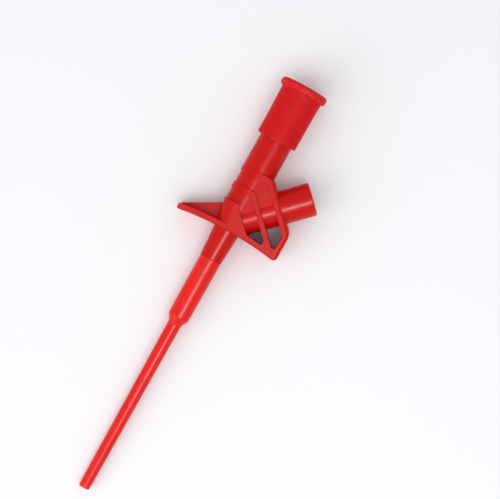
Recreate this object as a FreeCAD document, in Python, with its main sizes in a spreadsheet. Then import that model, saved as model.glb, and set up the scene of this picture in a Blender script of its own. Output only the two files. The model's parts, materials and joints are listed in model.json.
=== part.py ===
import FreeCAD, Part
import math
import os

import Sketcher
from FreeCAD import Placement, Rotation, Vector

# A spring-plunger test clip: a long insulated probe tube with two gripping jaws in its tip, a handle with
# a finger guard and an inclined 4 mm shrouded socket, and a sprung plunger cap at the far end.
# Millimetres. The origin is the centre of the tube's mouth, Y runs along the main axis towards the cap,
# X points to the socket's side and Z is square to the plane that holds both axes.

doc = FreeCAD.newDocument("plunger_test_clip")
sheet = doc.addObject("Spreadsheet::Sheet", "dims")

DRIVING = {
    # main axis stations
    "seam_y": 89.4,
    "guard_y": 100.7,
    "crossing_y": 103.7,
    "plate_top_y": 110.4,
    "band_two_low_y": 114.5,
    "band_two_high_y": 116.8,
    "band_one_low_y": 120.9,
    "band_one_high_y": 123.3,
    "skirt_y": 135.3,
    "stem_top_y": 143.9,
    "ceiling_y": 154,
    "overall_length": 156.15,
    # probe tube and nose, one moulding
    "mouth_radius": 1.97,
    "mouth_bore": 1.5,
    "tube_radius": 2.37,
    "tube_bore": 1.7,
    "shoulder_start_y": 64.4,
    "shoulder_end_y": 66.9,
    "nose_radius": 3.74,
    "seam_radius": 3.87,
    "nose_bore": 2.7,
    "nose_floor_y": 68.2,
    "snap_y": 83.5,
    "snap_x": -0.6,
    "snap_radius": 0.38,
    "mouth_round": 0.2,
    "shoulder_root_round": 2,
    "shoulder_crest_round": 0.9,
    # handle
    "spigot_end_y": 74,
    "spigot_radius": 2.68,
    "barrel_low_radius": 3.92,
    "barrel_guard_radius": 4.58,
    "recess_radius": 5.6,
    "band_radius": 6,
    "stem_radius": 5.87,
    "half_depth": 6,
    "guard_left": 18.45,
    "guard_right": 19.6,
    "guard_end_y": 99.2,
    "guard_thickness": 1.95,
    "guard_arc": 118,
    "web_half_thickness": 1,
    "web_root_x": 3,
    "corner_half_depth": 5.45,
    "slot_corner_round": 0.9,
    "barrel_side_round": 4,
    "barrel_side_limit": 2,
    "outer_wall_round": 1.5,
    "rib_round": 0.3,
    "guard_front_round": 0.5,
    "left_tip_round": 0.6,
    "right_tip_round": 1.4,
    "band_root": 4.5,
    "band_bevel": 0.25,
    "cage_corner_y": 108.3,
    "wall_inner_x": 17.45,
    "slot_one_floor_y": 102.05,
    "slot_one_side_x": 12.75,
    "slot_two_floor_y": 103.1,
    # stations along the inclined socket axis, from where it crosses the main axis
    "slot_one_start": 4.2,
    "slot_one_end": 9,
    "slot_two_start": 10.9,
    "slot_two_end": 15.55,
    "cage_end": 18.2,
    "shroud_start": 1.5,
    "shroud_mouth": 28.9,
    "shroud_root_radius": 5.7,
    "shroud_mouth_radius": 5.83,
    "post_radius": 3.2,
    "groove_radius": 4.3,
    "groove_floor": 11.6,
    # 4 mm socket contact
    "contact_mouth": 27.6,
    "contact_floor": 10,
    "contact_shoulder": 9.6,
    "contact_radius": 2.6,
    "contact_bore": 2,
    "washer_thickness": 0.4,
    "tail_radius": 1.25,
    "tail_end": 2.8,
    "tail_clearance": 0.1,
    # bores and inner pieces
    "front_bore": 1.9,
    "block_low_y": 97.2,
    "block_high_y": 110.3,
    "block_radius": 3.4,
    "block_bore": 0.8,
    "block_clearance": 0.05,
    "wiper_bore": 1.4,
    "wiper_low_y": 97.8,
    "wiper_high_y": 102.2,
    "spring_pocket": 4.3,
    "seat_thickness": 0.5,
    "seat_bore": 1,
    "coil_radius": 3.5,
    "wire_radius": 0.3,
    "coil_pitch": 2.9,
    # plunger
    "rod_radius": 0.75,
    "rod_low_y": 14.7,
    "rod_high_y": 153.5,
    "skirt_low_radius": 7.14,
    "skirt_high_radius": 7.36,
    "skirt_bore": 6.1,
    "flange_radius": 8.5,
    "flange_low_y": 153.1,
    "flange_edge_y": 156,
    "flange_low_round": 0.9,
    "flange_top_round": 1.25,
    "boss_radius": 2.7,
    "boss_low_y": 147,
    "insert_radius": 1.8,
    "insert_high_y": 155,
    "stop_radius": 1.8,
    "stop_groove": 0.6,
    "stop_thickness": 0.5,
    "stop_gap": 0.05,
    # jaws
    "hinge_x": 0.45,
    "hinge_y": 13.2,
    "eye_radius": 0.35,
    "eye_clearance": 0.05,
    "ferrule_radius": 1.3,
    "ferrule_high_y": 18.2,
    "jaw_outer_x": 0.75,
    "jaw_inner_x": 0.15,
    "claw_outer_x": 0.78,
    "claw_inner_x": 0.06,
    "window_x": 0.36,
    "jaw_end_y": 0.1,
    "jaw_half_depth": 0.45,
}

for row, (alias, value) in enumerate(DRIVING.items(), start=1):
    sheet.set(f"A{row}", alias)
    sheet.set(f"B{row}", str(value))
    sheet.setAlias(f"B{row}", alias)
doc.recompute()

ROOT_TWO = "1.41421356"
SOCKET_TILT = -45  # degrees the socket axis leans from the main axis, towards +X


def number(expression):
    """The value of a sheet expression, written with the aliases in plain words."""
    return float(sheet.evalExpression(bind(expression)))


def bind(expression):
    """Put the sheet's name in front of every alias, so that setExpression finds its cell."""
    words = []
    for word in expression.replace("(", " ( ").replace(")", " ) ").split():
        words.append("dims." + word if word in DRIVING else word)
    return " ".join(words).replace("abs (", "abs(")


def new_body(label):
    return doc.addObject("PartDesign::Body", label)


def new_sketch(body, name, along_socket=False, station=None):
    """A sketch on the body's plane of both axes. Along the socket its V axis is the inclined axis."""
    plane = next(feature for feature in body.Origin.OriginFeatures if feature.Role == "XY_Plane")
    sketch = body.newObject("Sketcher::SketchObject", name)
    sketch.AttachmentSupport = [(plane, "")]
    sketch.MapMode = "FlatFace"
    if along_socket:
        sketch.AttachmentOffset = Placement(Vector(), Rotation(Vector(0, 0, 1), SOCKET_TILT))
        sketch.setExpression("AttachmentOffset.Base.y", bind("crossing_y"))
    if station:
        sketch.setExpression("AttachmentOffset.Base.z", bind(station))
    return sketch


def pin_point(sketch, edge, place, pair, values):
    """Hold one end of an edge at two distances from the sketch's origin, each bound to the sheet."""
    for kind, expression, value in zip(("DistanceX", "DistanceY"), pair, values):
        if abs(value) < 1e-9:
            axis = -2 if kind == "DistanceX" else -1
            sketch.addConstraint(Sketcher.Constraint("PointOnObject", edge, place, axis))
            continue
        index = sketch.addConstraint(Sketcher.Constraint(kind, -1, 1, edge, place, value))
        sketch.setExpression(f"Constraints[{index}]", bind(expression))


def arc_between(start, end, radius):
    """The short arc from start to end. A positive radius bulges to the right of the way it runs."""
    chord = end - start
    height = math.sqrt(radius * radius - chord.Length * chord.Length / 4)
    left = Vector(-chord.y, chord.x, 0).normalize()
    centre = (start + end) * 0.5 + left * math.copysign(height, radius)
    ends = (start, end) if radius > 0 else (end, start)
    angles = [math.atan2(point.y - centre.y, point.x - centre.x) for point in ends]
    return Part.ArcOfCircle(Part.Circle(centre, Vector(0, 0, 1), abs(radius)), *angles)


def outline(sketch, corners):
    """A closed outline. A corner is a pair of expressions, with a third for an arc to the next corner."""
    points = [Vector(number(corner[0]), number(corner[1]), 0) for corner in corners]
    count = len(points)
    first = sketch.GeometryCount
    starts = []
    for index, corner in enumerate(corners):
        end = points[(index + 1) % count]
        radius = number(corner[2]) if len(corner) == 3 else 0
        edge = arc_between(points[index], end, radius) if radius else Part.LineSegment(points[index], end)
        sketch.addGeometry(edge)
        starts.append(2 if radius < 0 else 1)
    for index, corner in enumerate(corners):
        edge = first + index
        following = (index + 1) % count
        ends = (edge, 3 - starts[index], first + following, starts[following])
        sketch.addConstraint(Sketcher.Constraint("Coincident", *ends))
        pin_point(sketch, edge, starts[index], corner, (points[index].x, points[index].y))
        if len(corner) == 3:
            datum = sketch.addConstraint(Sketcher.Constraint("Radius", edge, abs(number(corner[2]))))
            sketch.setExpression(f"Constraints[{datum}]", bind(f"abs ( {corner[2]} )"))
    return sketch


def circle(sketch, centre, radius):
    """A circle whose centre and radius are bound to the sheet."""
    values = (number(centre[0]), number(centre[1]))
    edge = sketch.addGeometry(Part.Circle(Vector(values[0], values[1], 0), Vector(0, 0, 1), number(radius)))
    pin_point(sketch, edge, 3, centre, values)
    datum = sketch.addConstraint(Sketcher.Constraint("Radius", edge, number(radius)))
    sketch.setExpression(f"Constraints[{datum}]", bind(radius))
    return sketch


def turn(body, name, corners, along_socket=False, cut=False, angle=360):
    """A turned or bored shape: corners give radius and station along the axis it is turned about."""
    sketch = outline(new_sketch(body, name + "_profile", along_socket=along_socket), corners)
    feature = body.newObject("PartDesign::Groove" if cut else "PartDesign::Revolution", name)
    feature.Profile = sketch
    feature.ReferenceAxis = (sketch, ["V_Axis"])
    feature.Angle = angle
    feature.Midplane = True
    doc.recompute()
    return feature


def pad(body, name, corners, half_depth):
    """A plate or rib drawn in the plane of both axes and as deep on each side of it."""
    sketch = outline(new_sketch(body, name + "_outline"), corners)
    feature = body.newObject("PartDesign::Pad", name)
    feature.Profile = sketch
    feature.Midplane = True
    feature.setExpression("Length", bind(f"2 * {half_depth}"))
    doc.recompute()
    return feature


def cut_through(body, name, sketch):
    """Cut a sketch on the plane of both axes right through, on both sides of the plane."""
    feature = body.newObject("PartDesign::Pocket", name)
    feature.Profile = sketch
    feature.Type = "ThroughAll"
    feature.Midplane = True
    doc.recompute()
    return feature


def round_edges(body, name, radius, chosen):
    """Round the edges of the newest shape that the test picks, by a radius from the sheet."""
    base = body.Tip
    edges = base.Shape.Edges
    names = [f"Edge{index}" for index, edge in enumerate(edges, start=1) if chosen(edge)]
    feature = body.newObject("PartDesign::Fillet", name)
    feature.Base = (base, names)
    feature.setExpression("Radius", bind(radius))
    doc.recompute()
    return feature


def rim_at(edge, radius, station):
    """Whether an edge is a full circle of this radius about the main axis at this station."""
    curve = edge.Curve
    if not isinstance(curve, Part.Circle) or len(edge.Vertexes) > 1:
        return False
    return abs(curve.Radius - radius) < 0.01 and abs(curve.Center.y - station) < 0.01


def front_sleeve():
    """Probe tube and nose in one moulding, with a shoulder between them and a snap hole in the nose."""
    body = new_body("front_sleeve")
    turn(body, "sleeve_wall", [
        ("mouth_bore", "0"),
        ("mouth_radius", "0"),
        ("tube_radius", "shoulder_start_y"),
        ("nose_radius", "shoulder_end_y"),
        ("seam_radius", "seam_y - 0.15"),
        ("seam_radius - 0.13", "seam_y"),
        ("nose_bore", "seam_y"),
        ("nose_bore", "nose_floor_y"),
        ("tube_bore", "nose_floor_y - 1.4"),
    ])
    tube_radius = number("tube_radius")
    nose_radius = number("nose_radius")
    round_edges(body, "mouth_edge", "mouth_round", lambda edge: rim_at(edge, number("mouth_radius"), 0))
    round_edges(body, "shoulder_root", "shoulder_root_round",
                lambda edge: rim_at(edge, tube_radius, number("shoulder_start_y")))
    round_edges(body, "shoulder_crest", "shoulder_crest_round",
                lambda edge: rim_at(edge, nose_radius, number("shoulder_end_y")))
    snap_cuts = [
        ("snap_hole", "snap_radius + 0.05", "2"),
        ("snap_rim", "snap_radius + 0.3", "0.3"),
    ]
    for name, radius, depth in snap_cuts:
        sketch = new_sketch(body, name + "_sketch", station="seam_radius")
        circle(sketch, ("snap_x", "snap_y"), radius)
        hole = body.newObject("PartDesign::Pocket", name)
        hole.Profile = sketch
        hole.setExpression("Length", bind(depth))
        doc.recompute()
    return body


def diagonal(station):
    """What X + Y comes to on the line square to the socket axis at this station."""
    return f"crossing_y + {ROOT_TWO} * {station}"


def cage_slots(body):
    """The two slots through the cage, between ribs that stand square to the socket axis."""
    low = diagonal("slot_one_start")
    high = diagonal("slot_one_end")
    sketch = new_sketch(body, "slots_outline")
    outline(sketch, [
        ("0", f"{low}"),
        (f"{low} - slot_one_floor_y", "slot_one_floor_y"),
        ("slot_one_side_x", "slot_one_floor_y"),
        ("slot_one_side_x", f"{high} - slot_one_side_x"),
        (f"{high} - band_two_low_y", "band_two_low_y"),
        ("0", "band_two_low_y"),
    ])
    low = diagonal("slot_two_start")
    high = diagonal("slot_two_end")
    outline(sketch, [
        ("0", "band_two_high_y"),
        (f"{low} - band_two_high_y", "band_two_high_y"),
        (f"{low} - slot_two_floor_y", "slot_two_floor_y"),
        ("wall_inner_x", "slot_two_floor_y"),
        ("wall_inner_x", f"{high} - wall_inner_x"),
        (f"{high} - band_one_low_y", "band_one_low_y"),
        ("0", "band_one_low_y"),
    ])
    cut_through(body, "slots", sketch)
    round_edges(body, "slot_corners", "slot_corner_round", slot_corner)


def slot_corner(edge):
    """An upright edge where two walls of a slot meet."""
    across = [abs(edge.Vertexes[0].X - edge.Vertexes[-1].X), abs(edge.Vertexes[0].Y - edge.Vertexes[-1].Y)]
    inside = 1 < edge.Vertexes[0].X < number("wall_inner_x + 0.1")
    outer_corner = abs(edge.Vertexes[0].Y - number("band_one_high_y")) < 0.01
    return max(across) < 1e-6 and inside and not outer_corner


def in_side_face(edge):
    """Whether an edge lies in one of the cage's two flat faces."""
    half_depth = number("half_depth")
    heights = [abs(edge.valueAt(edge.FirstParameter + share * (edge.LastParameter - edge.FirstParameter)).z)
               for share in (0.1, 0.5, 0.9)]
    return all(abs(height - half_depth) < 1e-4 for height in heights)


def middle_of(edge):
    return edge.valueAt((edge.FirstParameter + edge.LastParameter) / 2)


def on_slot(edge):
    """An edge of a slot, clear of the barrel."""
    middle = middle_of(edge)
    inside = 0.05 < middle.x < number("wall_inner_x + 0.1")
    return in_side_face(edge) and inside and middle.y > number("guard_y + 1.2") and not on_outer_side(edge)


def on_barrel_side(edge):
    """The long edge of the cage's plate on the side away from the socket."""
    return in_side_face(edge) and middle_of(edge).x < -number("barrel_side_limit") and edge.Length > 6.5


def on_outer_side(edge):
    """An edge of the cage's outer wall: the upright end, its corner or the sloping outer side."""
    middle = middle_of(edge)
    slope = number(diagonal("cage_end"))
    upright = middle.x > number("wall_inner_x + 0.9") and middle.y > number("guard_end_y")
    return in_side_face(edge) and (upright or abs(middle.x + middle.y - slope) < 0.05)


def on_guard_front(edge):
    """The long lower edges of the guard, on the side of the tip."""
    middle = middle_of(edge)
    return in_side_face(edge) and edge.Length > 20 and middle.y < number("guard_y + 1")


def on_guard_tip(edge, tip):
    """A short upright edge at the tip of the guard that lies at this X."""
    middle = middle_of(edge)
    at_tip = abs(middle.x - number(tip)) < 0.01
    return in_side_face(edge) and at_tip and middle.y < number("guard_end_y + guard_thickness")


def cage(body):
    """The cage on the socket's side of the barrel: a deep plate whose slots leave slanting ribs."""
    slope = diagonal("cage_end")
    pad(body, "cage_plate", [
        ("0 - barrel_guard_radius", "guard_y + 1"),
        ("guard_right", "guard_end_y + 1"),
        ("guard_right", "cage_corner_y", "5"),
        ("guard_right - 2.1", f"{slope} - guard_right + 2.1"),
        (f"{slope} - band_one_high_y", "band_one_high_y"),
        ("0", "band_one_high_y"),
        ("0", "plate_top_y"),
        ("0 - band_radius", "plate_top_y"),
    ], "half_depth")
    cage_slots(body)
    round_edges(body, "barrel_side", "barrel_side_round", on_barrel_side)
    round_edges(body, "outer_wall", "outer_wall_round", on_outer_side)
    round_edges(body, "rib_edges", "rib_round", on_slot)


def guard_plate(body):
    """The finger guard: a plate arched away from the tip."""
    pad(body, "guard_plate", [
        ("0 - guard_left", "guard_end_y", "0 - guard_arc"),
        ("guard_right", "guard_end_y"),
        ("guard_right", "guard_end_y + guard_thickness", "guard_arc"),
        ("0 - guard_left", "guard_end_y + guard_thickness"),
    ], "half_depth")
    round_edges(body, "guard_front_edges", "guard_front_round", on_guard_front)
    round_edges(body, "left_tip_edges", "left_tip_round", lambda edge: on_guard_tip(edge, "0 - guard_left"))
    round_edges(body, "right_tip_edges", "right_tip_round", lambda edge: on_guard_tip(edge, "guard_right"))


def corner_fill(body):
    """The thick web between the barrel and the shroud, a step below the ribs, which leaves no hole there."""
    reach = "(slot_two_end + 1.2)"
    pad(body, "corner_fill", [
        ("0", "crossing_y"),
        (f"{reach} * 0.70711", f"crossing_y + {reach} * 0.70711"),
        (f"{diagonal(reach)} - band_one_high_y + 1", "band_one_high_y - 1"),
        ("0", "band_one_high_y - 1"),
    ], "corner_half_depth")


def handle_body():
    """Barrel, finger guard, cage and inclined socket shroud: one moulding with all its bores."""
    body = new_body("handle_body")
    cage(body)
    guard_plate(body)
    corner_fill(body)
    pad(body, "left_web", [
        ("1 - guard_left", "guard_end_y + 1.2"),
        ("0 - web_root_x", "guard_y + 1"),
        ("0 - web_root_x", "guard_y + 9.2"),
        ("0.3 - guard_left", "guard_end_y + 2.2"),
    ], "web_half_thickness")
    turn(body, "barrel", [
        ("0", "spigot_end_y"),
        ("spigot_radius - 0.3", "spigot_end_y"),
        ("spigot_radius", "spigot_end_y + 0.5"),
        ("spigot_radius", "seam_y"),
        ("barrel_low_radius - 0.13", "seam_y"),
        ("barrel_low_radius", "seam_y + 0.15"),
        ("barrel_guard_radius", "guard_y"),
        ("recess_radius", "guard_y + 7"),
        ("recess_radius", "band_one_high_y - 1"),
        ("stem_radius", "band_one_high_y - 1"),
        ("stem_radius", "stem_top_y - 0.4"),
        ("stem_radius - 0.4", "stem_top_y"),
        ("0", "stem_top_y"),
    ])
    bands = (
        ("band_two", "band_two_low_y", "band_two_high_y"),
        ("band_one", "band_one_low_y", "band_one_high_y"),
    )
    for name, low, high in bands:
        turn(body, name, [
            ("0 - band_root", low),
            ("0 - band_root", high),
            ("band_bevel - band_radius", high),
            ("0 - band_radius", f"{high} - band_bevel"),
            ("0 - band_radius", f"{low} + band_bevel"),
            ("band_bevel - band_radius", low),
        ], angle=180)
    turn(body, "shroud", [
        ("0", "shroud_start"),
        ("shroud_root_radius", "shroud_start"),
        ("shroud_mouth_radius", "shroud_mouth - 0.5", "0.9"),
        ("shroud_mouth_radius - 0.4", "shroud_mouth"),
        ("0", "shroud_mouth"),
    ], along_socket=True)
    turn(body, "main_bore", [
        ("0", "spigot_end_y - 1"),
        ("front_bore", "spigot_end_y - 1"),
        ("front_bore", "block_low_y"),
        ("block_radius + block_clearance", "block_low_y"),
        ("block_radius + block_clearance", "plate_top_y"),
        ("spring_pocket", "plate_top_y"),
        ("spring_pocket", "stem_top_y + 1"),
        ("0", "stem_top_y + 1"),
    ], cut=True)
    turn(body, "contact_bore", [
        ("0", "tail_end"),
        ("tail_radius + tail_clearance", "tail_end"),
        ("tail_radius + tail_clearance", "contact_shoulder - washer_thickness"),
        ("contact_radius", "contact_shoulder - washer_thickness"),
        ("contact_radius", "shroud_mouth + 1"),
        ("0", "shroud_mouth + 1"),
    ], along_socket=True, cut=True)
    turn(body, "shroud_groove", [
        ("post_radius", "groove_floor"),
        ("groove_radius", "groove_floor"),
        ("groove_radius", "shroud_mouth + 1"),
        ("post_radius", "shroud_mouth + 1"),
    ], along_socket=True, cut=True)
    sketch = new_sketch(body, "snap_pip_sketch", station="front_bore + 0.3")
    circle(sketch, ("snap_x", "snap_y"), "snap_radius")
    pip = body.newObject("PartDesign::Pad", "snap_pip")
    pip.Profile = sketch
    pip.setExpression("Length", bind("seam_radius - front_bore - 0.75"))
    doc.recompute()
    return body


def plunger_cap():
    """The cap that the thumb presses: a skirt over the stem, a rounded flange and a boss for the insert."""
    body = new_body("plunger_cap")
    turn(body, "cap_wall", [
        ("skirt_bore", "skirt_y"),
        ("skirt_low_radius - 0.25", "skirt_y"),
        ("skirt_low_radius", "skirt_y + 0.3"),
        ("skirt_high_radius", "flange_low_y"),
        ("flange_radius - flange_low_round", "flange_low_y", "flange_low_round"),
        ("flange_radius", "flange_low_y + flange_low_round"),
        ("flange_radius", "flange_edge_y - flange_top_round", "flange_top_round"),
        ("flange_radius - flange_top_round", "flange_edge_y"),
        ("0", "overall_length"),
        ("0", "insert_high_y"),
        ("insert_radius", "insert_high_y"),
        ("insert_radius", "boss_low_y"),
        ("boss_radius", "boss_low_y"),
        ("boss_radius", "ceiling_y"),
        ("skirt_bore", "ceiling_y"),
    ])
    return body


def cap_insert():
    """Brass insert in the cap's boss that grips the rod, with a groove that keys it in the plastic."""
    body = new_body("cap_insert")
    turn(body, "insert", [
        ("rod_radius", "boss_low_y"),
        ("insert_radius", "boss_low_y"),
        ("insert_radius", "boss_low_y + 2.4"),
        ("insert_radius - 0.35", "boss_low_y + 2.8"),
        ("insert_radius - 0.35", "boss_low_y + 3.8"),
        ("insert_radius", "boss_low_y + 4.2"),
        ("insert_radius", "insert_high_y"),
        ("0", "insert_high_y"),
        ("0", "rod_high_y"),
        ("rod_radius", "rod_high_y"),
    ])
    return body


def plunger_rod():
    """Steel rod from the jaws to the cap, pointed at the top and grooved for the stop ring."""
    body = new_body("plunger_rod")
    groove_low = "block_low_y - stop_gap - stop_thickness - 0.05"
    turn(body, "rod", [
        ("0", "rod_low_y"),
        ("rod_radius", "rod_low_y"),
        ("rod_radius", groove_low),
        ("stop_groove", groove_low),
        ("stop_groove", "block_low_y"),
        ("rod_radius", "block_low_y"),
        ("rod_radius", "rod_high_y - 0.3"),
        ("rod_radius - 0.3", "rod_high_y"),
        ("0", "rod_high_y"),
    ])
    return body


def stop_ring():
    """Open retaining ring in the rod's groove: it meets the contact block when the plunger is released."""
    body = new_body("stop_ring")
    high = "block_low_y - stop_gap"
    turn(body, "ring", [
        ("stop_groove", f"{high} - stop_thickness"),
        ("stop_radius", f"{high} - stop_thickness"),
        ("stop_radius", high),
        ("stop_groove", high),
    ])
    sketch = new_sketch(body, "ring_gap_outline")
    outline(sketch, [
        ("stop_groove - 0.2", "block_low_y - 2"),
        ("stop_radius + 0.2", "block_low_y - 2"),
        ("stop_radius + 0.2", "block_low_y + 1"),
        ("stop_groove - 0.2", "block_low_y + 1"),
    ])
    gap = body.newObject("PartDesign::Pocket", "ring_gap")
    gap.Profile = sketch
    gap.Midplane = True
    gap.setExpression("Length", bind("2 * stop_groove"))
    doc.recompute()
    return body


def contact_block():
    """Brass block on both axes: the rod slides through it and the socket contact screws into it."""
    body = new_body("contact_block")
    turn(body, "block", [
        ("block_bore", "wiper_high_y"),
        ("wiper_bore", "wiper_high_y"),
        ("wiper_bore", "block_low_y"),
        ("block_radius - 0.2", "block_low_y"),
        ("block_radius", "block_low_y + 0.2"),
        ("block_radius", "block_high_y - 0.3"),
        ("block_radius - 0.3", "block_high_y"),
        ("block_bore", "block_high_y"),
    ])
    turn(body, "tail_hole", [
        ("0", "tail_end"),
        ("tail_radius", "tail_end"),
        ("tail_radius", "tail_end + 4"),
        ("0", "tail_end + 4"),
    ], along_socket=True, cut=True)
    return body


def contact_wiper():
    """Slotted bronze sleeve in the block's counterbore, whose fingers press on the sliding rod."""
    body = new_body("contact_wiper")
    turn(body, "wiper", [
        ("block_bore", "wiper_low_y"),
        ("wiper_bore", "wiper_low_y"),
        ("wiper_bore", "wiper_high_y"),
        ("block_bore", "wiper_high_y"),
    ])
    sketch = new_sketch(body, "wiper_slot_outline")
    outline(sketch, [
        ("block_bore - 0.3", "wiper_low_y + 0.8"),
        ("wiper_bore + 0.3", "wiper_low_y + 0.8"),
        ("wiper_bore + 0.3", "wiper_high_y + 0.5"),
        ("block_bore - 0.3", "wiper_high_y + 0.5"),
    ])
    slot = body.newObject("PartDesign::Pocket", "wiper_slot")
    slot.Profile = sketch
    slot.Midplane = True
    slot.Length = 0.3
    doc.recompute()
    fingers = body.newObject("PartDesign::PolarPattern", "wiper_fingers")
    fingers.Originals = [slot]
    fingers.Axis = (sketch, ["V_Axis"])
    fingers.Occurrences = 4
    body.Tip = fingers
    doc.recompute()
    return body


def socket_contact():
    """Turned 4 mm socket contact with a threaded tail, on the inclined axis."""
    body = new_body("socket_contact")
    turn(body, "contact", [
        ("0", "tail_end"),
        ("tail_radius", "tail_end"),
        ("tail_radius", "contact_shoulder"),
        ("contact_radius", "contact_shoulder"),
        ("contact_radius", "contact_mouth - 0.2"),
        ("contact_radius - 0.2", "contact_mouth"),
        ("contact_bore + 0.3", "contact_mouth"),
        ("contact_bore", "contact_mouth - 0.3"),
        ("contact_bore", "contact_floor"),
        ("0", "contact_floor"),
    ], along_socket=True)
    return body


def turned_ring(label, inner, outer, low, high, along_socket=False):
    """A plain washer or bush."""
    body = new_body(label)
    corners = [(inner, low), (outer, low), (outer, high), (inner, high)]
    turn(body, label + "_ring", corners, along_socket=along_socket)
    return body


def return_spring():
    """Compression spring between its seat in the handle and the cap's ceiling."""
    body = new_body("return_spring")
    sketch = new_sketch(body, "wire_section")
    circle(sketch, ("coil_radius", "plate_top_y + seat_thickness + wire_radius"), "wire_radius")
    doc.recompute()
    coil = body.newObject("PartDesign::AdditiveHelix", "coil")
    coil.Profile = sketch
    coil.ReferenceAxis = (sketch, ["V_Axis"])
    coil.Mode = "pitch-height-angle"
    coil.setExpression("Pitch", bind("coil_pitch"))
    coil.setExpression("Height", bind("ceiling_y - plate_top_y - seat_thickness - 2 * wire_radius - 0.02"))
    doc.recompute()
    return body


def jaw_ferrule():
    """Crimp ferrule on the rod's end, with two round seats in its face for the jaws' roots."""
    body = new_body("jaw_ferrule")
    turn(body, "ferrule", [
        ("0", "hinge_y"),
        ("ferrule_radius - 0.15", "hinge_y"),
        ("ferrule_radius", "hinge_y + 0.2"),
        ("ferrule_radius", "ferrule_high_y - 0.3"),
        ("ferrule_radius - 0.3", "ferrule_high_y"),
        ("rod_radius", "ferrule_high_y"),
        ("rod_radius", "rod_low_y"),
        ("0", "rod_low_y"),
    ])
    for side in ("", "0 - "):
        name = "left_seat" if side else "right_seat"
        sketch = new_sketch(body, name + "_sketch")
        circle(sketch, (side + "hinge_x", "hinge_y"), "eye_radius + eye_clearance")
        cut_through(body, name, sketch)
    return body


def jaw(label, side):
    """One gripping jaw: a flat spring strip with a rounded root, a wire window and a hooked claw."""
    body = new_body(label)
    pad(body, label + "_strip", [
        (side + "claw_inner_x", "jaw_end_y"),
        (side + "0.55", "jaw_end_y"),
        (side + "claw_outer_x", "jaw_end_y + 0.35"),
        (side + "jaw_outer_x", "hinge_y"),
        (side + "jaw_inner_x", "hinge_y"),
        (side + "jaw_inner_x", "jaw_end_y + 4.2"),
        (side + "window_x", "jaw_end_y + 3.4"),
        (side + "window_x", "jaw_end_y + 1.5"),
        (side + "claw_inner_x", "jaw_end_y + 0.9"),
    ], "jaw_half_depth")
    sketch = circle(new_sketch(body, label + "_eye_sketch"), (side + "hinge_x", "hinge_y"), "eye_radius")
    eye = body.newObject("PartDesign::Pad", label + "_eye")
    eye.Profile = sketch
    eye.Midplane = True
    eye.setExpression("Length", bind("2 * jaw_half_depth"))
    doc.recompute()
    return body


nodes = [
    handle_body(),
    front_sleeve(),
    turned_ring("nose_bush", "rod_radius + 0.07", "nose_bore", "nose_floor_y + 0.2", "spigot_end_y - 0.2"),
    contact_block(),
    contact_wiper(),
    socket_contact(),
    turned_ring("contact_washer", "tail_radius + tail_clearance", "contact_radius - 0.1",
                "contact_shoulder - washer_thickness", "contact_shoulder", along_socket=True),
    turned_ring("spring_seat", "seat_bore", "spring_pocket - 0.05",
                "plate_top_y", "plate_top_y + seat_thickness"),
    return_spring(),
    plunger_cap(),
    cap_insert(),
    plunger_rod(),
    stop_ring(),
    jaw_ferrule(),
    jaw("jaw_right", ""),
    jaw("jaw_left", "0 - "),
]

doc.recompute()
for item in doc.Objects:
    if "Invalid" in item.State or "Error" in item.State:
        raise RuntimeError(f"{item.Label} did not compute: {item.State}")
for node in nodes:
    if node.Shape.isNull() or not node.Shape.isValid():
        raise RuntimeError(f"{node.Label} has no valid shape")

os.makedirs("parts", exist_ok=True)
for node in nodes:
    node.Shape.exportStep(f"parts/{node.Label}.step")
    box = node.Shape.BoundBox
    print(f"{node.Label:16s} {node.Shape.Volume:9.2f} mm3  solids {len(node.Shape.Solids)}  "
          f"x {box.XMin:.2f}..{box.XMax:.2f}  y {box.YMin:.2f}..{box.YMax:.2f}  z {box.ZMin:.2f}..{box.ZMax:.2f}")
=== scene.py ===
# A spring-plunger test clip lying on a pale table. Lengths are in metres, or in mm times the value mm.
import json
import math

import bmesh
import bpy
import numpy as np
from mathutils import Matrix, Vector


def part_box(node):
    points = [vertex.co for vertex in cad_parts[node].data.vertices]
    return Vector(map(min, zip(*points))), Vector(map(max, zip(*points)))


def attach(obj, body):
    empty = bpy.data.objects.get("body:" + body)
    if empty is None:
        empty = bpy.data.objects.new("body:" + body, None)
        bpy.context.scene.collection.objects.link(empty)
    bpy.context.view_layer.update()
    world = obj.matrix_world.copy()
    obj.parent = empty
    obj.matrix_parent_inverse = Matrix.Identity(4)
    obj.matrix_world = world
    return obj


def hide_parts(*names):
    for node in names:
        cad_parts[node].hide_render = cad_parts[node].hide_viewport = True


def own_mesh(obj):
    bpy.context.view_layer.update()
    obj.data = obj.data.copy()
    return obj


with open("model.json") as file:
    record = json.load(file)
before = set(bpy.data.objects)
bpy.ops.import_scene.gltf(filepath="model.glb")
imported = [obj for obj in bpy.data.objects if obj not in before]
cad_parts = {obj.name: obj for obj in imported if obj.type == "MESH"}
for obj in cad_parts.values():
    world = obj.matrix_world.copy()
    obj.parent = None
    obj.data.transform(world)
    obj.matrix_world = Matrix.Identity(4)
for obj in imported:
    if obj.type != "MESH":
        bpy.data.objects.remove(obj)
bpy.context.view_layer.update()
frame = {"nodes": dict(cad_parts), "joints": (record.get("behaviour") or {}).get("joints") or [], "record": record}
mm = 0.001
record = frame["record"]
print("frame loaded:", len(frame["nodes"]), "nodes")


# How the materials are written

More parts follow.
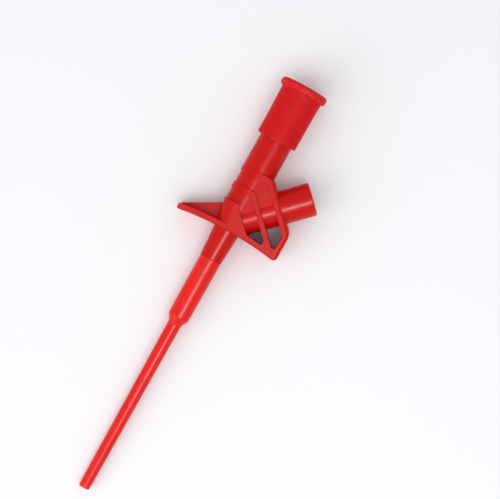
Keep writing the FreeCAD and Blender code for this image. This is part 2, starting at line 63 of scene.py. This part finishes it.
class Wire:
    # a number on its way through a material: sums on it add Math nodes
    def __init__(self, finish, socket):
        self.finish = finish
        self.socket = socket

    def maths(self, operation, first, second):
        return self.finish.add("ShaderNodeMath", {"operation": operation}, {0: first, 1: second})

    def __add__(self, other):
        return self.maths("ADD", self, other)

    def __radd__(self, other):
        return self.maths("ADD", other, self)

    def __sub__(self, other):
        return self.maths("SUBTRACT", self, other)

    def __rsub__(self, other):
        return self.maths("SUBTRACT", other, self)

    def __mul__(self, other):
        return self.maths("MULTIPLY", self, other)

    def __rmul__(self, other):
        return self.maths("MULTIPLY", other, self)

    def __abs__(self):
        return self.maths("ABSOLUTE", self, 0)

    def orMore(self, other):
        return self.maths("MAXIMUM", self, other)


class Finish:
    # one material and the nodes that it is made of
    def __init__(self, name):
        self.material = bpy.data.materials.new(name)
        self.material.use_nodes = True
        self.tree = self.material.node_tree
        self.tree.nodes.clear()
        self.place = self.add("ShaderNodeTexCoord", {}, {}, "Object")
        self.x, self.y, self.z = [
            self.add("ShaderNodeSeparateXYZ", {}, {0: self.place}, part) for part in "XYZ"]

    def add(self, kind, settings, inputs, output=0):
        node = self.tree.nodes.new(kind)
        for name, value in settings.items():
            setattr(node, name, value)
        for name, value in inputs.items():
            if isinstance(value, Wire):
                self.tree.links.new(value.socket, node.inputs[name])
            else:
                node.inputs[name].default_value = value
        return Wire(self, node.outputs[output])

    def turned(self, scale, turn=(0, 0, 0)):
        # the place, turned and stretched, for a pattern that runs one way
        return self.add("ShaderNodeMapping", {}, {"Vector": self.place, "Rotation": turn, "Scale": scale})

    def noise(self, size, detail=2, where=None):
        # cloudy noise from 0 to 1 whose lumps are about that size
        inputs = {"Vector": where or self.place, "Scale": 1 / size, "Detail": detail, "Roughness": 0.55}
        return self.add("ShaderNodeTexNoise", {}, inputs)

    def specks(self, spacing, share):
        # 1 inside small scattered dots, that share of the spacing wide
        near = self.add("ShaderNodeTexVoronoi", {}, {"Vector": self.place, "Scale": 1 / spacing})
        return self.rise(near, share, share * 0.4)

    def rise(self, value, start, end):
        # 0 up to start, 1 from end, and a smooth step between; start may be the larger
        inputs = {"Value": value, "From Min": start, "From Max": end}
        return self.add("ShaderNodeMapRange", {"interpolation_type": "SMOOTHSTEP"}, inputs)

    def line(self, value, centre, halfWidth):
        # 1 where the value is at the centre, falling to 0 at half a width from it
        return self.rise(abs(value - centre), halfWidth, halfWidth * 0.25)

    def fromAxis(self, origin, direction):
        # how far a place is along a line, and how far out from it
        way = Vector(direction).normalized()
        gap = self.add("ShaderNodeVectorMath", {"operation": "SUBTRACT"}, {0: self.place, 1: origin})
        along = self.add("ShaderNodeVectorMath", {"operation": "DOT_PRODUCT"}, {0: gap, 1: way}, "Value")
        across = self.add("ShaderNodeVectorMath", {"operation": "CROSS_PRODUCT"}, {0: gap, 1: way})
        out = self.add("ShaderNodeVectorMath", {"operation": "LENGTH"}, {0: across}, "Value")
        return along, out

    def tint(self, share, first, second):
        # a colour between two, by a share from 0 to 1
        return self.add("ShaderNodeMix", {"data_type": "RGBA"}, {0: share, 6: first, 7: second}, 2)

    def bump(self, height):
        # a surface raised by a height in metres
        return self.add("ShaderNodeBump", {}, {"Strength": 1.0, "Distance": 1.0, "Height": height})

    def done(self, sockets):
        shader = self.add("ShaderNodeBsdfPrincipled", {}, sockets)
        end = self.tree.nodes.new("ShaderNodeOutputMaterial")
        self.tree.links.new(shader.socket, end.inputs["Surface"])
        return self.material


# Moulded plastics

socketMount = next(m for m in record["mounts"] if m["name"] == "banana_socket")
socketWay = Vector(socketMount["axis"])
socketPoint = Vector(socketMount["pos_m"])
handleLow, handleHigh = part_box("handle_body")
sleeveLow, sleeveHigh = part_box("front_sleeve")
capLow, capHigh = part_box("plunger_cap")

# each plastic's worn colour is a lighter red, for scratches and dust, and for the painted highlight and rub wear
# on rims and edges
plastics = {
    "handleRed": {
        "colour": (0.57, 0.007, 0.005, 1), "deep": (0.46, 0.004, 0.004, 1), "scuffAndHighlight": (0.76, 0.05, 0.035, 1),
        "roughness": 0.29, "grain": 0.22 * mm, "grainHeight": 0.004 * mm,
        "wave": 3.2 * mm, "waveHeight": 0.035 * mm, "shine": 0.12},
    "sleeveRed": {
        "colour": (0.77, 0.012, 0.008, 1), "deep": (0.62, 0.006, 0.006, 1), "scuffAndHighlight": (0.90, 0.08, 0.05, 1),
        "roughness": 0.33, "grain": 0.16 * mm, "grainHeight": 0.0015 * mm,
        "wave": 4.5 * mm, "waveHeight": 0.03 * mm, "shine": 0.19},
    "capRed": {
        "colour": (0.59, 0.005, 0.008, 1), "deep": (0.52, 0.003, 0.006, 1), "scuffAndHighlight": (0.74, 0.035, 0.035, 1),
        "roughness": 0.60, "grain": 0.28 * mm, "grainHeight": 0.010 * mm,
        "wave": 5.0 * mm, "waveHeight": 0.04 * mm, "shine": 0.10},
}


moulding = {
    "flowScale": (420, 95, 420), "flowTurn": (0, 0, 0.25),
    "scratchScale": (1500, 60, 900), "scratchTurn": (0.3, 0.2, 0.7),
    "scratchPatch": 7 * mm, "scratchDepth": 0.004 * mm,
    "dustSpacing": 2.6 * mm, "dustShare": 0.035, "dustHeight": 0.006 * mm,
    "partingWidth": 0.07 * mm, "partingHeight": 0.012 * mm, "wearAndHighlightPatch": 0.9 * mm,
    "index": 1.53, "scatter": 0.10, "scatterColour": (1.0, 0.12, 0.08), "scatterReach": 0.5 * mm}


def mouldedPlastic(name, wearAndHighlight):
    # spark-eroded grain, flow marks, slow waves, fine scratches and dust, and a parting line; the last argument is
    # a function that gives a share from 0 to 1 for how rubbed and lit a place is: rub wear together with a painted
    # highlight on rims and edges
    look = plastics[name]
    finish = Finish(name)
    grain = finish.noise(look["grain"], 3)
    wave = finish.noise(look["wave"], 1)
    flow = finish.noise(1.0, 3, finish.turned(moulding["flowScale"], moulding["flowTurn"]))
    scratchField = finish.noise(1.0, 1, finish.turned(moulding["scratchScale"], moulding["scratchTurn"]))
    scratchPlaces = finish.rise(finish.noise(moulding["scratchPatch"], 1), 0.52, 0.66)
    scratch = finish.line(scratchField, 0.5, 0.012) * scratchPlaces
    dust = finish.specks(moulding["dustSpacing"], moulding["dustShare"])
    parting = finish.line(finish.z, 0, moulding["partingWidth"])
    # painted highlight along rims and edges, mixed with rub wear, in patches
    rubbedAndLit = wearAndHighlight(finish) * finish.rise(finish.noise(moulding["wearAndHighlightPatch"], 3), 0.30, 0.62)
    colour = finish.tint(finish.rise(flow, 0.30, 0.72) * 0.45, look["colour"], look["deep"])
    # rims and edges tinted lighter and smoother: painted highlight and rub wear
    colour = finish.tint(rubbedAndLit * 0.55, colour, look["scuffAndHighlight"])
    colour = finish.tint((scratch * 0.35).orMore(dust * 0.5), colour, look["scuffAndHighlight"])
    roughness = look["roughness"] + 0.16 * (grain - 0.5) + 0.14 * (flow - 0.5)
    roughness = roughness + 0.15 * scratch + 0.25 * dust - 0.10 * rubbedAndLit
    height = look["grainHeight"] * grain + look["waveHeight"] * wave + moulding["partingHeight"] * parting
    height = height - moulding["scratchDepth"] * scratch + moulding["dustHeight"] * dust
    return finish.done({
        "Base Color": colour, "Roughness": roughness, "Normal": finish.bump(height),
        "IOR": moulding["index"], "Specular IOR Level": look["shine"], "Subsurface Weight": moulding["scatter"],
        "Subsurface Radius": moulding["scatterColour"], "Subsurface Scale": moulding["scatterReach"]})


def handleWearAndHighlight(finish):
    # painted highlight and rub wear at the shroud's mouth, the handle's furthest points to the left and right, and
    # the top edge of the stem
    along = finish.fromAxis(socketPoint, socketWay)[0]
    mouth = finish.rise(along, 1.2 * mm, 1.8 * mm)
    corner = finish.rise(abs(finish.x - (handleLow.x + handleHigh.x) / 2), 19.5 * mm, 21.3 * mm)
    stemTop = finish.rise(finish.y, handleHigh.y - 0.7 * mm, handleHigh.y - 0.2 * mm)
    return mouth.orMore(corner).orMore(stemTop)


def sleeveWearAndHighlight(finish):
    # painted highlight and rub wear at the nose of the tube and the edge at the seam
    nose = finish.rise(finish.y, 2.5 * mm, 0.2 * mm)
    seam = finish.rise(finish.y, sleeveHigh.y - 0.5 * mm, sleeveHigh.y - 0.15 * mm)
    return nose.orMore(seam)


def capWearAndHighlight(finish):
    # painted highlight and rub wear at the flange's rim and the lower edge of the skirt
    out = finish.fromAxis((0, 0, 0), (0, 1, 0))[1]
    rim = finish.rise(out, capHigh.x - 0.6 * mm, capHigh.x - 0.1 * mm)
    lip = finish.rise(finish.y, capLow.y + 0.5 * mm, capLow.y + 0.1 * mm)
    return rim.orMore(lip)


# Metals and the white bush

metals = {
    "brass": {
        "colour": (0.78, 0.56, 0.25, 1), "dull": (0.52, 0.34, 0.13, 1), "roughness": 0.30, "lines": 0.10 * mm},
    "nickel": {
        "colour": (0.74, 0.71, 0.64, 1), "dull": (0.55, 0.50, 0.42, 1), "roughness": 0.24, "lines": 0.12 * mm},
    "bronze": {
        "colour": (0.72, 0.42, 0.22, 1), "dull": (0.46, 0.25, 0.12, 1), "roughness": 0.34, "lines": 0.20 * mm},
    "steel": {
        "colour": (0.60, 0.59, 0.57, 1), "dull": (0.40, 0.39, 0.38, 1), "roughness": 0.28, "lines": 0.16 * mm},
    "springSteel": {
        "colour": (0.50, 0.50, 0.51, 1), "dull": (0.30, 0.29, 0.28, 1), "roughness": 0.36, "lines": 0.25 * mm},
}


turning = {
    "wander": 1.1 * mm, "wanderAngle": 9, "tarnish": 1.6 * mm, "pitSpacing": 0.5 * mm, "pitShare": 0.10,
    "ringHeight": 0.0008 * mm, "pitDepth": 0.003 * mm}


def turnedMetal(name, origin, way):
    # tool marks in rings along an axis, with cloudy tarnish and pits
    look = metals[name]
    finish = Finish(name)
    along = finish.fromAxis(origin, way)[0]
    wander = finish.noise(turning["wander"], 2) * turning["wanderAngle"]
    ringAngle = along * (2 * math.pi / look["lines"]) + wander
    turns = finish.add("ShaderNodeMath", {"operation": "SINE"}, {0: ringAngle})
    tarnish = finish.rise(finish.noise(turning["tarnish"], 4), 0.42, 0.72)
    pits = finish.specks(turning["pitSpacing"], turning["pitShare"])
    colour = finish.tint(tarnish * 0.7, look["colour"], look["dull"])
    roughness = look["roughness"] + 0.05 * turns + 0.18 * tarnish + 0.2 * pits
    height = turning["ringHeight"] * turns - turning["pitDepth"] * pits
    return finish.done({
        "Base Color": colour, "Metallic": 1.0, "Roughness": roughness, "Normal": finish.bump(height)})


acetal = {
    "colour": (0.84, 0.83, 0.79, 1), "deep": (0.74, 0.72, 0.66, 1), "roughness": 0.36, "cloud": 1.5 * mm,
    "ringScale": (300, 7000, 300), "ringHeight": 0.003 * mm,
    "scatter": 0.15, "scatterColour": (1.0, 0.9, 0.8), "scatterReach": 0.8 * mm}


def whiteBush():
    # natural acetal: waxy, with faint tool rings
    finish = Finish("bushWhite")
    rings = finish.noise(1.0, 2, finish.turned(acetal["ringScale"]))
    colour = finish.tint(finish.noise(acetal["cloud"], 3), acetal["colour"], acetal["deep"])
    return finish.done({
        "Base Color": colour, "Roughness": acetal["roughness"] + 0.15 * rings,
        "Normal": finish.bump(acetal["ringHeight"] * rings), "Subsurface Weight": acetal["scatter"],
        "Subsurface Radius": acetal["scatterColour"], "Subsurface Scale": acetal["scatterReach"]})


mainAxis = ((0, 0, 0), (0, 1, 0))
finishes = {
    "handle_red": mouldedPlastic("handleRed", handleWearAndHighlight),
    "sleeve_red": mouldedPlastic("sleeveRed", sleeveWearAndHighlight),
    "cap_red": mouldedPlastic("capRed", capWearAndHighlight),
    "bush_white": whiteBush(),
    "brass": turnedMetal("brass", *mainAxis),
    "bronze": turnedMetal("bronze", *mainAxis),
    "nickel_brass": turnedMetal("nickel", socketPoint, socketWay),
    "steel": turnedMetal("steel", *mainAxis),
    "spring_steel": turnedMetal("springSteel", *mainAxis),
}
slotOf = {part["node"]: part["material_slot"] for part in record["subparts"]}
for name, node in frame["nodes"].items():
    node.data.materials.clear()
    node.data.materials.append(finishes[slotOf[name]])
print("materials:", len(finishes))


# How the new surfaces are made

surface = {"weld": 1e-7, "creaseDegrees": 40}


def ringedMesh(name, points, slot, body, *nodes):
    # points is an array of rings by columns by 3: each ring closes on itself and joins the next, and the first
    # and last are closed with a face, or to a pole where the ring is one point
    rings, columns = points.shape[:2]
    index = np.arange(rings * columns).reshape(rings, columns)
    right = np.roll(index, -1, axis=1)
    quads = np.stack([index[:-1], right[:-1], right[1:], index[1:]], axis=-1).reshape(-1, 4)
    ends = [index[i].tolist() for i in (0, -1) if np.ptp(points[i], axis=0).max() > surface["weld"]]
    mesh = bpy.data.meshes.new(name)
    mesh.from_pydata(points.reshape(-1, 3).tolist(), [], quads.tolist() + ends)
    shape = bmesh.new()
    shape.from_mesh(mesh)
    bmesh.ops.remove_doubles(shape, verts=shape.verts, dist=surface["weld"])
    bmesh.ops.recalc_face_normals(shape, faces=shape.faces)
    shape.to_mesh(mesh)
    shape.free()
    mesh.polygons.foreach_set("use_smooth", np.ones(len(mesh.polygons), bool))
    mesh.set_sharp_from_angle(angle=math.radians(surface["creaseDegrees"]))
    mesh.materials.append(finishes[slot])
    made = bpy.data.objects.new(name, mesh)
    bpy.context.scene.collection.objects.link(made)
    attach(made, body)
    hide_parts(*nodes)
    print(name, len(mesh.polygons), "faces")
    return made


def arcPoints(centre, radius, start, end, count):
    # points on an arc of a profile, as radius and station, by angles in degrees from the outward side
    angle = np.radians(np.linspace(start, end, count))
    return np.stack([centre[0] + radius * np.cos(angle), centre[1] + radius * np.sin(angle)], axis=1)


def eased(value, places, heights):
    # a curve through heights at places that leaves and meets each one level
    places, heights = np.asarray(places, float), np.asarray(heights, float)
    step = np.clip(np.searchsorted(places, value, side="right") - 1, 0, len(places) - 2)
    share = np.clip((value - places[step]) / (places[step + 1] - places[step]), 0, 1)
    return heights[step] + (heights[step + 1] - heights[step]) * share * share * (3 - 2 * share)


# The thumb cap

cap = {
    "lipRadius": 7.14 * mm, "skirtTop": capHigh.y - 3.05 * mm, "skirtTopRadius": 7.36 * mm, "bore": 6.1 * mm,
    "ceiling": capHigh.y - 2.15 * mm, "bossRadius": 2.7 * mm, "bossLow": capHigh.y - 9.15 * mm,
    "insertRadius": 1.8 * mm, "insertTop": capHigh.y - 1.15 * mm,
    "edgeBead": 1.25 * mm, "underRound": 0.9 * mm, "edgeDrop": 0.15 * mm, "lipHeight": 0.3 * mm, "flare": 2.5,
    "boreBevel": 0.15 * mm,
    "dishRadius": 6.2 * mm, "dishDepth": 0.30 * mm, "dishEdge": 1.2 * mm, "dishRound": 2 * mm,
    "gateRadius": 0.7 * mm, "gateHeight": 0.16 * mm,
    "seamHeight": 0.03 * mm, "seamWidth": 0.14 * mm, "seamAt": (20, 200), "columns": 480}


def thumbCap():
    # a profile of radius and station carried round the main axis: from the middle of the dished end over the
    # rounded flange, down the skirt, up its bore and round the boss; the skirt's radius eases to its lip by a
    # power of the height, and two fine parting seams stand out of the outside
    rim = capHigh.y - cap["edgeDrop"]
    floor = capHigh.y - cap["edgeDrop"] - cap["dishDepth"]
    gate, bevel, lipHeight = cap["gateRadius"], cap["boreBevel"], cap["lipHeight"]
    dishFoot = cap["dishRadius"] - cap["dishEdge"]
    bead = (capHigh.x - cap["edgeBead"], rim - cap["edgeBead"])
    under = (capHigh.x - cap["underRound"], cap["skirtTop"] + cap["underRound"])
    slant = np.linspace(0, 1, 12)[:, None]
    skirtTop = np.array([cap["skirtTopRadius"], cap["skirtTop"]])
    lip = np.array([cap["lipRadius"], capLow.y + lipHeight])
    profile = np.concatenate([
        [(0, floor + cap["gateHeight"]), (gate * 0.7, floor + cap["gateHeight"])],
        [(gate * 0.95, floor + cap["gateHeight"] * 0.8), (gate, floor), (gate + 0.3 * mm, floor)],
        [(dishFoot, floor)],
        arcPoints((dishFoot, floor + cap["dishRound"]), cap["dishRound"], -90, -62, 6),
        [(cap["dishRadius"] + 0.2 * mm, rim - 0.02 * mm), (bead[0] - 0.3 * mm, rim)],
        arcPoints(bead, cap["edgeBead"], 90, 0, 12),
        arcPoints(under, cap["underRound"], 0, -90, 9),
        [(skirtTop[0] + 0.35 * mm, skirtTop[1]), (skirtTop[0] + 0.1 * mm, skirtTop[1] - 0.05 * mm)],
        np.hstack([skirtTop[0] + (lip[0] - skirtTop[0]) * (1 - (1 - slant) ** cap["flare"]),
                   skirtTop[1] - lipHeight + (lip[1] - skirtTop[1] + lipHeight) * slant]),
        [(lip[0] - 0.08 * mm, capLow.y + 0.09 * mm), (lip[0] - 0.25 * mm, capLow.y)],
        [(cap["bore"] + bevel, capLow.y), (cap["bore"], capLow.y + bevel)],
        [(cap["bore"], cap["ceiling"]), (cap["bossRadius"], cap["ceiling"])],
        [(cap["bossRadius"], cap["bossLow"]), (cap["insertRadius"], cap["bossLow"])],
        [(cap["insertRadius"], cap["insertTop"]), (0, cap["insertTop"])],
    ])
    radius, station = profile[:, :1], profile[:, 1:]
    angle = np.linspace(0, 2 * np.pi, cap["columns"], endpoint=False)[None]
    outside = (radius > cap["bore"] + 0.5 * mm) * (station < rim - 0.1 * mm)
    for seamAt in cap["seamAt"]:
        away = np.angle(np.exp(1j * (angle - math.radians(seamAt)))) * radius
        radius = radius + outside * cap["seamHeight"] * np.exp(-(away / cap["seamWidth"]) ** 2)
    limit = np.minimum(radius, capHigh.x)
    points = np.stack([limit * np.cos(angle), station + 0 * angle, limit * np.sin(angle)], axis=-1)
    ringedMesh("thumb_cap", points, "cap_red", "plunger", "plunger_cap")


thumbCap()

# The two jaws: spring strips with a necked shank and a toothed claw. Places along a strip, and offsets from
# the main axis, are in mm

jaw = {
    "stations": 150, "around": 32, "squareness": 0.45,
    "teeth": 4, "toothDepth": 0.045 * mm, "toothRun": 0.8, "clawStart": 0.12, "clawEnd": 0.92,
    "places": (0.0, 0.1, 0.9, 1.5, 3.4, 4.4, 12.6, 13.45),
    "outer": (0.50, 0.62, 0.78, 0.76, 0.75, 0.75, 0.75, 0.62),
    "inner": (0.30, 0.07, 0.07, 0.36, 0.38, 0.22, 0.20, 0.30),
    "depthPlaces": (0, 0.15, 1.2, 5.0, 11.5, 13.45),
    "depths": (0.36, 0.44, 0.45, 0.33, 0.36, 0.40)}


def gripJaw(side, node):
    # a rounded oblong section carried along the strip: its inner and outer faces follow the listed offsets,
    # its depth narrows to a neck, and the claw's inner face has small saw teeth
    low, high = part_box(node)
    along = np.linspace(0, 1, jaw["stations"])
    reach = (high.y - low.y) / mm
    place = reach * along
    outer = eased(place, jaw["places"], jaw["outer"]) * mm
    inner = eased(place, jaw["places"], jaw["inner"]) * mm
    inClaw = (place > jaw["clawStart"]) & (place < jaw["clawEnd"])
    inner = inner + inClaw * jaw["toothDepth"] * (place * jaw["teeth"] / jaw["toothRun"] % 1)
    depth = eased(place, jaw["depthPlaces"], jaw["depths"]) * mm
    around = np.linspace(0, 2 * np.pi, jaw["around"], endpoint=False)
    outward = np.sign(np.cos(around)) * np.abs(np.cos(around)) ** jaw["squareness"]
    upright = np.sign(np.sin(around)) * np.abs(np.sin(around)) ** jaw["squareness"]
    middle, half = (outer + inner) / 2, (outer - inner) / 2
    x = side * (middle[:, None] + half[:, None] * outward[None])
    y = low.y + place[:, None] * mm + 0 * outward[None]
    z = depth[:, None] * upright[None]
    ringedMesh(node + "_strip", np.stack([x, y, z], axis=-1), "spring_steel", node, node)


gripJaw(1, "jaw_right")
gripJaw(-1, "jaw_left")

# The return spring, with closed ends

springLow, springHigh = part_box("return_spring")
spring = {
    "wire": 0.3 * mm, "coilRadius": springHigh.x - 0.3 * mm, "turns": 17.0, "closedTurns": 1.0,
    "closedPitch": 2.1, "easeTurns": 0.3, "stepsPerTurn": 36, "around": 12}


def returnSpring():
    # the wire's centre goes round the main axis and climbs by little over one wire a turn in the closed end
    # turns and by an even pitch between them; round the centre goes a circle square to the wire
    steps = int(spring["turns"] * spring["stepsPerTurn"]) + 1
    turn = np.linspace(0, spring["turns"], steps)
    wire, closed, ease = spring["wire"], spring["closedTurns"], spring["easeTurns"]
    shut = spring["closedPitch"] * wire
    free = spring["turns"] - 2 * closed
    height = springHigh.y - springLow.y - 2 * wire
    gap = (height - 2 * closed * shut) / free
    opening = np.clip((turn - closed) / ease, 0, 1) * np.clip((spring["turns"] - closed - turn) / ease, 0, 1)
    pitch = shut + (gap - shut) * opening * opening * (3 - 2 * opening)
    climb = np.concatenate([[0], np.cumsum((pitch[1:] + pitch[:-1]) / 2 * np.diff(turn))])
    climb = climb * height / climb[-1]
    angle = 2 * np.pi * turn
    radial = np.stack([np.cos(angle), np.zeros(steps), np.sin(angle)], axis=1)
    centre = spring["coilRadius"] * radial
    centre[:, 1] = springLow.y + wire + climb
    ahead = np.gradient(centre, axis=0)
    ahead /= np.linalg.norm(ahead, axis=1, keepdims=True)
    side = np.cross(ahead, radial)
    around = np.linspace(0, 2 * np.pi, spring["around"], endpoint=False)
    circle = radial[:, None] * np.cos(around)[None, :, None] + side[:, None] * np.sin(around)[None, :, None]
    points = centre[:, None] + wire * circle
    return ringedMesh("return_spring_coil", points, "spring_steel", "handle", "return_spring")


coil = returnSpring()
travel = next(j for j in frame["joints"] if j["name"] == "plunger_slide")["range_m"][1]
1 - travel / (springHigh.y - springLow.y)
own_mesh(coil)


# The table, the lights and the camera

table = {
    "size": 3.0, "gap": 0.02 * mm, "colour": (0.86, 0.86, 0.87, 1), "second": (0.82, 0.82, 0.835, 1),
    "toneSize": 60 * mm, "fibreSize": 0.4 * mm, "fibreHeight": 0.006 * mm, "roughness": 0.65}
flangeRadius = capHigh.x
noseLength = 1 * mm
sleeveMesh = frame["nodes"]["front_sleeve"].data
sleevePoints = np.empty(len(sleeveMesh.vertices) * 3)
sleeveMesh.vertices.foreach_get("co", sleevePoints)
sleevePoints = sleevePoints.reshape(-1, 3)
noseRadius = -float(sleevePoints[sleevePoints[:, 1] < noseLength, 2].min())
lean = math.atan((flangeRadius - noseRadius) / (capHigh.y - noseLength))
# the clip rests on its cap's rim and on its nose, so the table leans against the main axis
up = Vector((0, math.sin(lean), math.cos(lean)))
uphill = Vector((0, math.cos(lean), -math.sin(lean)))
across = uphill.cross(up)
tableTurn = Matrix((across, uphill, up)).transposed().to_4x4()
tableTop = Vector((0, 0, -noseRadius)) - up * table["gap"]


def paleTable():
    # a flat square that is faintly uneven in tone
    half = table["size"] / 2
    corners = np.array([[-half, -half, 0], [half, -half, 0], [half, half, 0], [-half, half, 0]])
    mesh = bpy.data.meshes.new("table_top")
    mesh.from_pydata(corners.tolist(), [], [[0, 1, 2, 3]])
    mesh.transform(Matrix.Translation(tableTop) @ tableTurn)
    made = bpy.data.objects.new("table_top", mesh)
    bpy.context.scene.collection.objects.link(made)
    finish = Finish("paleTable")
    tone = finish.noise(table["toneSize"], 3)
    fibre = finish.noise(table["fibreSize"], 3)
    made.data.materials.append(finish.done({
        "Base Color": finish.tint(tone * 0.25, table["colour"], table["second"]),
        "Roughness": table["roughness"] + 0.1 * fibre, "Normal": finish.bump(table["fibreHeight"] * fibre)}))


paleTable()

view = {
    "distance": 583 * mm, "width": 171.2 * mm, "look": (10.14 * mm, 98.7 * mm), "turn": 60.9,
    "sensor": 36, "clipStart": 10 * mm}


def tablePoint(right, upward, height):
    # a point over the table, from the middle of the view: rightward, upward in the view, and towards it
    turn = math.radians(90 - view["turn"])
    rightWay = across * math.cos(turn) + uphill * math.sin(turn)
    upWay = uphill * math.cos(turn) - across * math.sin(turn)
    middle = across * view["look"][0] + uphill * view["look"][1]
    return middle + rightWay * right + upWay * upward + up * height, rightWay, upWay


def addCamera():
    place, rightWay, upWay = tablePoint(0, 0, view["distance"])
    lens = bpy.data.cameras.new("camera")
    lens.sensor_width = view["sensor"]
    lens.lens = view["sensor"] * view["distance"] / view["width"]
    camera = bpy.data.objects.new("camera", lens)
    camera.matrix_world = Matrix.Translation(place) @ Matrix((rightWay, upWay, up)).transposed().to_4x4()
    lens.clip_start = view["clipStart"]
    bpy.context.scene.collection.objects.link(camera)
    bpy.context.scene.camera = camera


keyPlace, warmWhite = (0.07, -0.20, 0.62), (1.0, 0.985, 0.97)
lights = {
    "key": {"at": keyPlace, "size": 0.50, "watts": 1.15, "colour": warmWhite},
    "glint": {"at": keyPlace, "size": 0.09, "watts": 2.4, "colour": warmWhite, "glossOnly": True},
    "leftSoft": {"at": (-0.95, -0.57, 0.80), "size": 1.50, "watts": 8.2, "colour": (1.0, 1.0, 1.0)},
}
room = {"colour": (0.95, 0.97, 1.0, 1), "strength": 0.70}


def addLight(name, look):
    place = tablePoint(*look["at"])[0]
    target = tablePoint(0, 0, 0)[0]
    lamp = bpy.data.lights.new(name, "AREA")
    lamp.shape = "DISK"
    lamp.size = look["size"]
    lamp.energy = look["watts"]
    lamp.color = look["colour"]
    made = bpy.data.objects.new(name, lamp)
    made.location = place
    # a gloss-only light makes highlights and no shadow
    made.visible_diffuse = not look.get("glossOnly", False)
    made.rotation_euler = (target - place).to_track_quat("-Z", "Y").to_euler()
    bpy.context.scene.collection.objects.link(made)


addCamera()
for name, look in lights.items():
    addLight(name, look)
world = bpy.data.worlds.new("studio")
world.use_nodes = True
world.node_tree.nodes["Background"].inputs["Color"].default_value = room["colour"]
world.node_tree.nodes["Background"].inputs["Strength"].default_value = room["strength"]
bpy.context.scene.world = world
bpy.context.scene.view_settings.view_transform = "Standard"
print("lights and camera set")
